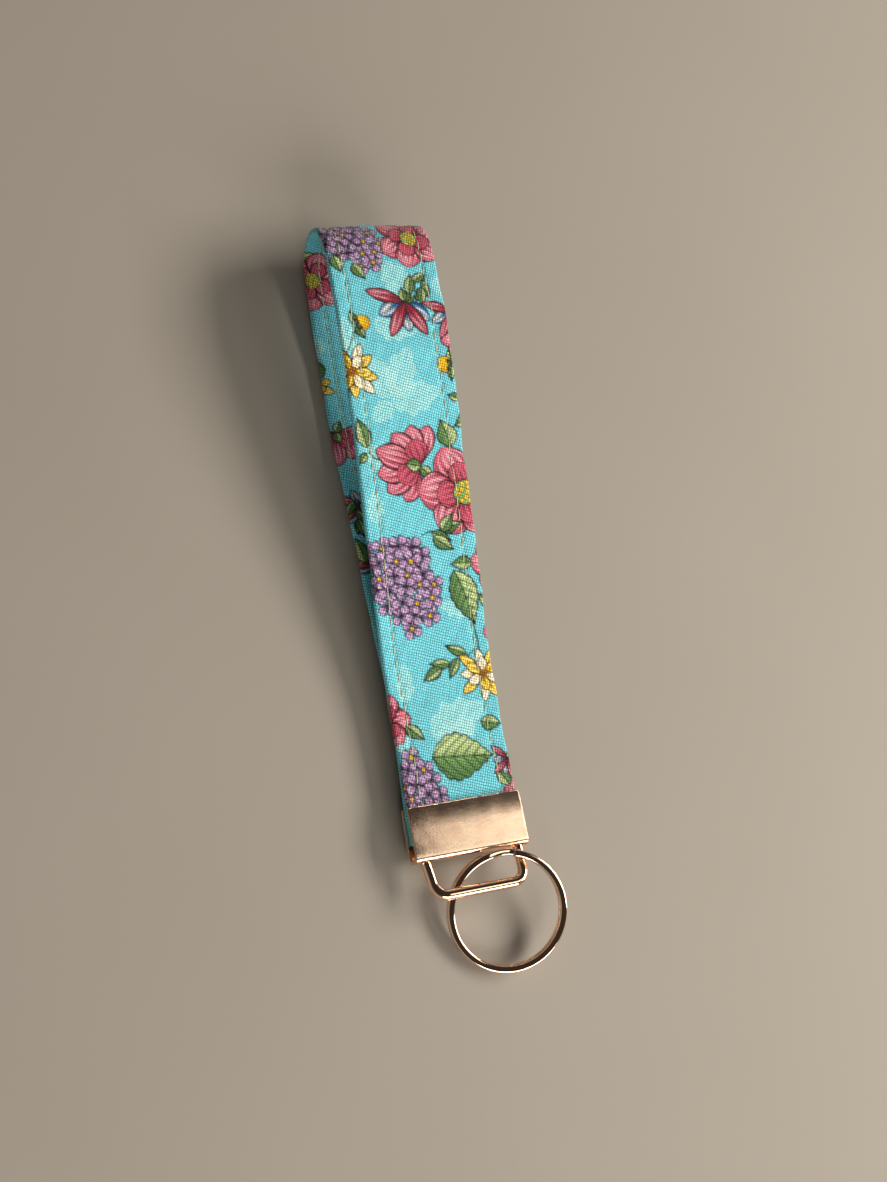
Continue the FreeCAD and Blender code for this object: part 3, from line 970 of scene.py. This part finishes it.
def cotton_material():
    """Printed plain-weave cotton: ink from the painted cloth, threads in colour and in relief.

    The ink has painted shade in the gaps between threads and painted highlight on their crowns.
    """
    nodes = Nodes("printed_cotton")
    cloth = nodes.attribute("cloth", "Vector")
    # the cloth was cut off its grain, so the threads run aslant to the strap
    grain = nodes.mapped(cloth, Rotation=(0.0, 0.0, math.radians(GRAIN_TURN_DEG)))
    place = nodes.add("ShaderNodeSeparateXYZ", {0: grain})
    wander = nodes.maths("MULTIPLY", nodes.noise(cloth, 0.35, 2.0), 0.6)
    across, along = (nodes.maths("ADD", place.outputs[axis], wander) for axis in (0, 1))
    height, checker = weave_height(nodes, across, along)
    warp_slub, weft_slub = (
        nodes.noise(nodes.mapped(grain, Scale=stretch), 1.6, 2.0)
        for stretch in ((2.0, 0.12, 1.0), (0.12, 2.0, 1.0))
    )
    slub = nodes.maths("ADD", warp_slub, weft_slub)
    # painted shade and painted highlight: the ink is darkened in the gaps between threads and lightened
    # on their crowns; slubs vary the threads' tone, and alternate crossings are a little lighter and
    # darker
    gap_shade_crown_light = nodes.ramp(height, 0.0, 0.75, 0.14, 1.30)
    shade = nodes.maths("MULTIPLY", gap_shade_crown_light, nodes.ramp(slub, 0.7, 1.3, 0.80, 1.16))
    shade = nodes.maths("MULTIPLY", shade, nodes.ramp(checker, -1.0, 1.0, 0.90, 1.10))
    colour = nodes.shaded(nodes.attribute("ink", "Color"), shade)
    worn = nodes.ramp(nodes.noise(cloth, 2.2, 4.0, 0.7), 0.58, 0.80, 0.0, 0.16)
    nodes.to_shader("Base Color", nodes.mix_colour(worn, colour, (0.72, 0.80, 0.78, 1.0)))
    nodes.to_shader("Roughness", nodes.ramp(slub, 0.7, 1.3, 0.92, 0.74))
    nodes.shader.inputs["Sheen Weight"].default_value = 0.18
    nodes.shader.inputs["Sheen Roughness"].default_value = 0.45
    nodes.shader.inputs["Specular IOR Level"].default_value = 0.25
    fuzz = nodes.maths("MULTIPLY", nodes.noise(cloth, 5.0, 3.0, 0.7), 0.35)
    nodes.bump(nodes.maths("ADD", height, fuzz), 0.75, 0.00011)
    return nodes.material


def thread_material():
    """Twisted sewing thread, pale with a slight sheen, with painted shade in the grooves of its twist.
    """
    nodes = Nodes("sewing_thread")
    thread_place = nodes.attribute("thread", "Vector")
    place = nodes.add("ShaderNodeSeparateXYZ", {0: thread_place})
    twist = nodes.maths("ADD", nodes.maths("MULTIPLY", place.outputs[1], 14.0), place.outputs[0])
    strand = nodes.ramp(nodes.maths("SINE", twist), -1.0, 1.0)
    drift = nodes.noise(thread_place, 0.8, 3.0)
    colour = nodes.mix_colour(drift, (0.50, 0.62, 0.30, 1.0), (0.66, 0.68, 0.44, 1.0))
    # painted shade: the colour is darkened in the grooves between the twisted plies
    nodes.to_shader("Base Color", nodes.shaded(colour, nodes.ramp(strand, 0.0, 1.0, 0.72, 1.0)))
    nodes.to_shader("Roughness", nodes.ramp(strand, 0.0, 1.0, 0.62, 0.42))
    nodes.shader.inputs["Sheen Weight"].default_value = 0.25
    nodes.bump(strand, 0.8, 0.00006)
    return nodes.material


def interfacing_material():
    """White non-woven interfacing, a felt of short fibres."""
    nodes = Nodes("interfacing_felt")
    place = nodes.object_place()
    fibre = nodes.noise(place, 2600.0, 4.0, 0.75)
    light = nodes.ramp(fibre, 0.3, 0.7)
    colour = nodes.mix_colour(light, (0.66, 0.65, 0.61, 1.0), (0.88, 0.87, 0.84, 1.0))
    nodes.to_shader("Base Color", colour)
    nodes.to_shader("Roughness", nodes.ramp(nodes.noise(place, 240.0, 2.0), 0.3, 0.7, 0.98, 0.86))
    nodes.bump(fibre, 0.6, 0.0001)
    return nodes.material


def rose_gold(name, roughness, relief, grain_scale, dark_speck_share):
    """Rose-gold plating, with grain, faint scratches, a little darker toning and dark brown specks on
    the grain's high points.
    """
    nodes = Nodes(name)
    place = nodes.object_place()
    grain = nodes.noise(place, grain_scale, 3.0, 0.8)
    cloud = nodes.noise(place, 260.0, 3.0, 0.6)
    brushed = nodes.mapped(place, Scale=(1.0, 0.06, 1.0), Rotation=(0.0, 0.0, 0.5))
    scratch = nodes.ramp(nodes.noise(brushed, grain_scale * 0.8, 2.0), 0.70, 0.78)
    toning = nodes.ramp(cloud, 0.35, 0.70)
    colour = nodes.mix_colour(toning, (0.97, 0.71, 0.51, 1.0), (0.93, 0.62, 0.46, 1.0))
    # dark brown specks where the grain noise is highest, covering up to the given share
    speck = nodes.ramp(grain, 0.60, 0.78, 0.0, dark_speck_share)
    nodes.to_shader("Base Color", nodes.mix_colour(speck, colour, (0.36, 0.20, 0.14, 1.0)))
    nodes.shader.inputs["Metallic"].default_value = 1.0
    spread = nodes.ramp(cloud, 0.3, 0.7, roughness * 0.9, roughness * 1.15)
    nodes.to_shader("Roughness", nodes.maths("ADD", spread, nodes.maths("MULTIPLY", scratch, 0.05)))
    height = nodes.maths("ADD", grain, nodes.maths("MULTIPLY", scratch, -0.2))
    nodes.bump(height, relief, 0.00005)
    return nodes.material


def floor_material():
    """A plain pale surface with a very faint mottling."""
    nodes = Nodes("pale_floor")
    drift = nodes.noise(nodes.object_place(), 14.0, 2.0)
    colour = nodes.mix_colour(drift, (0.315, 0.275, 0.225, 1.0), (0.345, 0.305, 0.255, 1.0))
    nodes.to_shader("Base Color", colour)
    nodes.shader.inputs["Roughness"].default_value = 0.7
    return nodes.material


# ---- the pieces


def make_strap(canvas):
    """The folded cotton strap as one sheet of cloth, with its print and weave coordinates."""
    x, share, offset, place = strap_section().T[:, None, :]
    s = np.linspace(0, LOOP_LENGTH, round(LOOP_LENGTH / CLOTH_STEP) + 1)[:, None]
    points = on_strap(x, share * half_thickness(x, s) + offset, s)
    grid = points.shape[:2]
    numbers = np.arange(grid[0] * grid[1]).reshape(grid)
    strap = mesh_object("folded_cotton_strap", points, grid_faces(numbers))
    place = np.broadcast_to(place, grid)
    distance = np.broadcast_to(s, grid)
    ink = np.ones((numbers.size, 4), np.float32)
    ink[:, :3] = canvas.sample(place, distance).reshape(-1, 3)
    layer = strap.data.color_attributes.new("ink", "FLOAT_COLOR", "POINT")
    layer.data.foreach_set("color", ink.ravel())
    point_vectors(strap, "cloth", place, distance)
    strap.data.materials.append(cotton_material())
    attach(strap, "strap_and_clamp")
    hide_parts("strap_fabric")


def make_stitches(name, node, row, outside, material):
    """One row of separate stitches, each a short arched length of thread that dips at its ends."""
    rings = 11
    sides = 8
    mean_lean = 0.07
    first = 0.0 if outside else 0.5
    count = int(LOOP_LENGTH / STITCH_LENGTH - first)
    number = np.arange(count)[:, None, None]
    share = np.linspace(0, 1, rings)[None, :, None]
    angle = np.linspace(0, 2 * math.pi, sides, endpoint=False)[None, None, :]
    maker = np.random.default_rng(71 if row < 0 else 72)
    lean = maker.normal(0.0, 0.05, count)[:, None, None] + mean_lean
    plump = maker.uniform(0.92, 1.08, count)[:, None, None]
    visible = STITCH_LENGTH - STITCH_GAP
    s = (number + first) * STITCH_LENGTH + STITCH_GAP / 2 + share * visible
    x = row + row_drift(row, s) + lean * (share - 0.5) * 2
    arch = np.sin(math.pi * share) ** 0.5
    radius = STITCH_RADIUS * plump * (0.55 + 0.45 * arch)
    rest = half_thickness(x, s) - STITCH_END_DEPTH + STITCH_ARCH * arch
    across = x + radius * np.cos(angle)
    height = rest + STITCH_FLATNESS * radius * np.sin(angle)
    s = np.broadcast_to(s, across.shape)
    numbers = np.arange(across.size).reshape(across.shape)
    # each end is closed by three four-sided faces over its eight points
    cap = np.array([(0, 1, 2, 3), (0, 3, 4, 7), (4, 5, 6, 7)])
    starts = numbers[:, 0][:, cap].reshape(-1, 4)
    ends = numbers[:, -1][:, cap[:, ::-1]].reshape(-1, 4)
    faces = np.concatenate([ring_faces(numbers), starts, ends])
    points = on_strap(across, height if outside else -height, s)
    made = mesh_object(name, points, faces)
    point_vectors(made, "thread", np.broadcast_to(angle, across.shape), s)
    made.data.materials.append(material)
    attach(made, "strap_and_clamp")
    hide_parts(node)


def clamp_skin(outer, arc_split):
    """Half of one skin's side profile, from the upper mouth to the web's middle, as (y, z) points.

    Both skins have the same number of points, and the slots begin at the same one on each. On the
    outer skin that is part of the way round the bend, on the inner skin it is where the bend begins."""
    inset = 0.0 if outer else SHEET
    bend_y = -CLAMP_FLAT / 2
    bend = CLAMP_BEND - inset
    centre_z = CLAMP_THICKNESS - CLAMP_BEND
    top_z = CLAMP_THICKNESS - inset
    plate_steps, arc_steps, web_steps = 32, 6, 5
    plate_end = bend_y if outer else bend_y + CLAMP_BEND / 2
    points = []

    def bend_to(angle_from, angle_to):
        for index in range(1, arc_steps + 1):
            angle = angle_from + (angle_to - angle_from) * index / arc_steps
            points.append((bend_y - bend * math.cos(angle), centre_z + bend * math.sin(angle)))

    for index in range(plate_steps + 1):
        share = index / plate_steps
        eased = 1 - math.cos(share * math.pi / 2)
        points.append((MOUTH_Y + (plate_end - MOUTH_Y) * (0.4 * share + 0.6 * eased), top_z))
    if outer:
        bend_to(math.pi / 2, arc_split)
        bend_to(arc_split, 0.0)
    else:
        for index in range(1, arc_steps + 1):
            points.append((plate_end + (bend_y - plate_end) * index / arc_steps, top_z))
        bend_to(math.pi / 2, 0.0)
    for index in range(1, web_steps + 1):
        points.append((bend_y - bend, centre_z + (MID_HEIGHT - centre_z) * index / web_steps))
    return points, plate_steps + arc_steps


def clamp_bow(x, y):
    """How far the plates lean in near the mouth, pressed a little unevenly."""
    near = np.clip((y - (MOUTH_Y - CLAMP_BOW_RUN)) / CLAMP_BOW_RUN, 0, 1)
    pressed = 1 + 0.10 * waves(x, 81, 15.0, 5.0, 3)
    dents = 0.004 * waves(x + 0.6 * y, 82, 9.0, 3.5, 3)
    side = x / (CLAMP_WIDTH / 2)
    crown = np.where(side < 0, 0.12, 0.03) * side**4
    return CLAMP_BOW * near**2 * pressed + dents + crown


def clamp_half_width(y):
    """Half the clamp's width, less at the mouth where its corners are rounded."""
    reach = np.clip(y - (MOUTH_Y - CLAMP_CORNER), 0, CLAMP_CORNER)
    return CLAMP_WIDTH / 2 - CLAMP_CORNER + np.sqrt(CLAMP_CORNER**2 - reach**2)


def clamp_columns():
    """The clamp's grid lines across, with one on each side of both slots."""
    half_width = CLAMP_WIDTH / 2
    edges = (-half_width, -SLOT_OUTER_X, -SLOT_INNER_X, SLOT_INNER_X, SLOT_OUTER_X, half_width)
    across = []
    for x_from, x_to in zip(edges, edges[1:]):
        count = max(2, round((x_to - x_from) / CLAMP_STEP))
        across.extend(x_from + (x_to - x_from) * index / count for index in range(count))
    return np.array(across + [half_width])


def make_clamp(material):
    """The folded metal end: two skins joined round every rim and slot, with its teeth inside."""
    split = math.asin((SLOT_HEIGHT / 2 + MID_HEIGHT - CLAMP_THICKNESS + CLAMP_BEND) / CLAMP_BEND)
    bend_y = -CLAMP_FLAT / 2
    across = clamp_columns()
    skins = []
    for outer in (True, False):
        upper, slot_start = clamp_skin(outer, split)
        upper = np.array(upper)
        lower = upper[-2::-1] * (1, -1) + (0, CLAMP_THICKNESS)
        y, z = np.concatenate([upper, lower]).T[:, :, None]
        x = across[None, :] * clamp_half_width(y) / (CLAMP_WIDTH / 2)
        side = np.sign(z - MID_HEIGHT) * (y > bend_y - 0.01)
        lean = clamp_bow(x, y) * side * smooth(bend_y, bend_y + 2.5, y)
        skins.append(np.stack(np.broadcast_arrays(x, y, z - lean), axis=-1))
    rows, columns = skins[0].shape[:2]

    def is_sheet(row, column):
        if not (0 <= row < rows - 1 and 0 <= column < columns - 1):
            return False
        middle_x = abs(across[column] + across[column + 1]) / 2
        in_slot = slot_start <= row < rows - 1 - slot_start and SLOT_INNER_X < middle_x < SLOT_OUTER_X
        return not in_slot

    faces = []
    inner = rows * columns
    for row in range(rows - 1):
        for column in range(columns - 1):
            if not is_sheet(row, column):
                continue
            first = row * columns + column
            corners = (first, first + columns, first + columns + 1, first + 1)
            faces.append(list(corners))
            faces.append([inner + corner for corner in reversed(corners)])
            beyond = ((row, column - 1), (row + 1, column), (row, column + 1), (row - 1, column))
            for start, end, neighbour in zip(corners, corners[1:] + corners[:1], beyond):
                if not is_sheet(*neighbour):
                    faces.append([end, start, inner + start, inner + end])
    points = np.concatenate([skin.reshape(-1, 3) for skin in skins])
    for level, way in ((SHEET - TOOTH_ROOT, 1), (CLAMP_THICKNESS - SHEET + TOOTH_ROOT, -1)):
        for number in range(TOOTH_COUNT):
            x = (number - (TOOTH_COUNT - 1) / 2) * TOOTH_PITCH
            tooth = tooth_points((x, MOUTH_Y - TOOTH_SETBACK, level), way)
            faces += tube_faces(len(points), *tooth.shape[:2])
            points = np.concatenate([points, tooth.reshape(-1, 3)])
    clamp = mesh_object("satin_end_clamp", points, faces)
    rims = clamp.modifiers.new("rounded_rims", "BEVEL")
    rims.limit_method = "ANGLE"
    rims.angle_limit = math.radians(50)
    rims.width = CLAMP_RIM * MM
    rims.segments = 3
    rims.use_clamp_overlap = False
    rims.harden_normals = True
    clamp.data.materials.append(material)
    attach(clamp, "strap_and_clamp")
    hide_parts("end_clamp")


def tooth_points(root, way):
    """The two rings of points of a small blunt cone that points up or down."""
    angle = way * np.linspace(0, 2 * math.pi, TOOTH_SIDES, endpoint=False)
    return np.array([
        np.stack([
            root[0] + radius * np.cos(angle),
            root[1] + radius * np.sin(angle),
            np.full(TOOTH_SIDES, root[2] + way * rise),
        ], axis=-1)
        for radius, rise in ((TOOTH_BASE_R, 0.0), (TOOTH_TIP_R, TOOTH_HEIGHT + TOOTH_ROOT))
    ])


def rounded_path(corners, radii, arc_steps):
    """Points along straight runs joined by tangent arcs."""
    path = [corners[0]]
    for before, corner, after, radius in zip(corners, corners[1:], corners[2:], radii):
        back = (before - corner).normalized()
        ahead = (after - corner).normalized()
        opening = back.angle(ahead)
        reach = radius / math.tan(opening / 2)
        inward = (back + ahead).normalized()
        centre = corner + inward * (radius / math.sin(opening / 2))
        start = corner + back * reach - centre
        sweep = math.pi - opening
        axis = start.cross(corner + ahead * reach - centre).normalized()
        for step in range(arc_steps + 1):
            path.append(centre + Matrix.Rotation(sweep * step / arc_steps, 3, axis) @ start)
    path.append(corners[-1])
    return path


def make_bail(material):
    """The bail's wire, swept round its path between its two cut ends."""
    half_path = [
        Vector((BAIL_BUTT_GAP / 2, 0, 0)),
        Vector((BAIL_HALF_AXLE, 0, 0)),
        Vector((BAIL_HALF_BAR, -BAIL_REACH, 0)),
    ]
    corners = half_path + [Vector((-place.x, place.y, 0)) for place in reversed(half_path)]
    radii = [BAIL_FOLD_CORNER_R, BAIL_BAR_CORNER_R, BAIL_BAR_CORNER_R, BAIL_FOLD_CORNER_R]
    path = rounded_path(corners, radii, arc_steps=24)
    sides = 40
    up = Vector((0, 0, 1))
    rest = Matrix.Rotation(-math.radians(BAIL_REST_DEG), 3, "X")
    move = Vector((BAIL_SIDE_SHIFT, AXLE_Y, MID_HEIGHT))
    rings = []
    for before, place, after in zip(path[:1] + path, path, path[1:] + path[-1:]):
        out = (after - before).normalized().cross(up).normalized()
        ring = []
        for side in range(sides):
            angle = 2 * math.pi * side / sides
            on_wire = place + WIRE_R * (out * math.cos(angle) + up * math.sin(angle))
            ring.append(tuple(rest @ on_wire + move))
        rings.append(ring)
    bail = swept_wire("polished_wire_bail", rings)
    bail.data.materials.append(material)
    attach(bail, "bail")
    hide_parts("wire_bail")


def swept_wire(name, rings):
    """A closed solid from a row of rings of points, each end closed by a flat face."""
    points = np.array(rings)
    made = mesh_object(name, points, tube_faces(0, *points.shape[:2]))
    made.data.polygons[-1].use_smooth = False
    made.data.polygons[-2].use_smooth = False
    return made


def ring_section_points():
    """The ring wire's rounded-rectangle section as (across, up) points."""
    inner_w = RING_WIRE_WIDTH / 2 - RING_WIRE_ROUND
    inner_h = RING_WIRE_HEIGHT / 2 - RING_WIRE_ROUND
    corner_steps = 5
    points = []
    for quarter, (side, level) in enumerate(((1, 1), (-1, 1), (-1, -1), (1, -1))):
        for step in range(corner_steps + 1):
            angle = math.pi / 2 * (quarter + step / corner_steps)
            across = side * inner_w + RING_WIRE_ROUND * math.cos(angle)
            points.append((across, level * inner_h + RING_WIRE_ROUND * math.sin(angle)))
    return points


def make_ring(material):
    """The split ring: one flattened wire wound nearly two turns, stepping up between them."""
    section = ring_section_points()
    level = (RING_WIRE_HEIGHT + RING_TURN_GAP) / 2
    middle_r = RING_OUTER_R - RING_WIRE_WIDTH / 2
    full_turn = 360.0 - RING_STEP_DEG
    total = 2 * full_turn + RING_STEP_DEG
    count = 300
    up = Vector((0, 0, 1))
    tilt = up.rotation_difference(Vector((-RING_SLOPE_X, -RING_SLOPE_Y, 1)).normalized())
    rings = []
    for index in range(count + 1):
        turned = total * index / count
        share = float(smooth(full_turn, full_turn + RING_STEP_DEG, turned))
        height = level * (2 * share - 1)
        angle = math.radians(RING_STEP_END_DEG + turned)
        outward = Vector((math.cos(angle), math.sin(angle), 0))
        rings.append([
            tuple(tilt @ (outward * (middle_r + across) + up * (height + rise)) + RING_CENTRE)
            for across, rise in section
        ])
    ring = swept_wire("polished_split_ring", rings)
    ring.data.materials.append(material)
    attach(ring, "ring")
    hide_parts("split_ring")


def make_floor():
    """The pale floor, just under the lowest point of the part."""
    half = 3.0
    clearance = 0.00002
    mesh = bpy.data.meshes.new("floor")
    corners = [(-half, -half, 0), (half, -half, 0), (half, half, 0), (-half, half, 0)]
    mesh.from_pydata(corners, [], [(0, 1, 2, 3)])
    floor = bpy.data.objects.new("floor", mesh)
    floor.location.z = cad_low.z - clearance
    bpy.context.scene.collection.objects.link(floor)
    floor.data.materials.append(floor_material())


def softbox(name, place, aim, size, power, colour):
    """A rectangular area light at a place, facing another."""
    light = bpy.data.lights.new(name, "AREA")
    light.shape = "RECTANGLE"
    light.size = size[0]
    light.size_y = size[1]
    light.energy = power
    light.color = colour
    holder = bpy.data.objects.new(name, light)
    holder.location = place
    holder.rotation_euler = (Vector(aim) - Vector(place)).to_track_quat("-Z", "Y").to_euler()
    bpy.context.scene.collection.objects.link(holder)


# Each light's name, place, the place it faces, size, power in watts and colour
SOFTBOXES = (
    ("key_light", (0.92, 0.02, 0.62), (0.0, 0.05, 0.0), (0.90, 0.36), 15.5, (1.0, 0.95, 0.89)),
    ("overhead_card", (0.35, -0.09, 0.62), (0.35, -0.09, 0.0), (0.26, 0.28), 0.43, (1.0, 0.98, 0.88)),
    ("front_light", (0.15, -0.92, 0.52), (0.0, 0.05, 0.0), (0.9, 0.4), 9.5, (1.0, 0.97, 0.93)),
)


def make_studio():
    """Soft studio light: a key at the right, a front light, a card overhead and a dim room."""
    for light in SOFTBOXES:
        softbox(*light)
    world = bpy.data.worlds.new("studio")
    world.use_nodes = True
    tree = world.node_tree
    background = tree.nodes["Background"]
    direction = tree.nodes.new("ShaderNodeTexCoord")
    height = tree.nodes.new("ShaderNodeSeparateXYZ")
    fade = tree.nodes.new("ShaderNodeMapRange")
    fade.interpolation_type = "SMOOTHSTEP"
    for name, value in (("From Min", 0.0), ("From Max", 0.7), ("To Min", 0.42), ("To Max", 0.03)):
        fade.inputs[name].default_value = value
    tree.links.new(direction.outputs["Generated"], height.inputs[0])
    tree.links.new(height.outputs["Z"], fade.inputs["Value"])
    tree.links.new(fade.outputs["Result"], background.inputs["Strength"])
    background.inputs["Color"].default_value = (1.0, 0.93, 0.85, 1.0)
    scene = bpy.context.scene
    scene.world = world
    scene.view_settings.view_transform = "Standard"


def make_camera():
    """The camera, above the part and to its left, with the strap's far end at the top."""
    right = Vector((0.92432, -0.18473, 0.33393))
    up = Vector((0.10368, 0.96368, 0.24612))
    back = Vector((-0.36726, -0.19287, 0.90990))
    place = Vector((-0.12629, -0.01147, 0.31289))
    data = bpy.data.cameras.new("camera")
    data.sensor_width = 36.0
    data.lens = 48.29
    data.shift_x = 0.0268
    data.shift_y = -0.0147
    data.clip_start = 0.01
    data.clip_end = 10.0
    camera = bpy.data.objects.new("camera", data)
    turn = Matrix((right, up, back)).transposed().to_4x4()
    camera.matrix_world = Matrix.Translation(place) @ turn
    bpy.context.scene.collection.objects.link(camera)
    bpy.context.scene.camera = camera


make_strap(paint_cloth())
thread = thread_material()
for side_name, row_x in zip(("left", "right"), stitch_rows()):
    make_stitches("needle_stitches_" + side_name, "needle_thread_" + side_name, row_x, True, thread)
    make_stitches("bobbin_stitches_" + side_name, "bobbin_thread_" + side_name, row_x, False, thread)

clamp_metal = rose_gold("satin_rose_gold", 0.15, 0.46, 3000.0, 0.95)
polished_metal = rose_gold("polished_rose_gold", 0.09, 0.06, 2400.0, 0.10)
make_bail(polished_metal)
make_ring(polished_metal)

make_clamp(clamp_metal)
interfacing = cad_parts["strap_interfacing"]
interfacing.data.materials.clear()
interfacing.data.materials.append(interfacing_material())

make_floor()
make_studio()
make_camera()
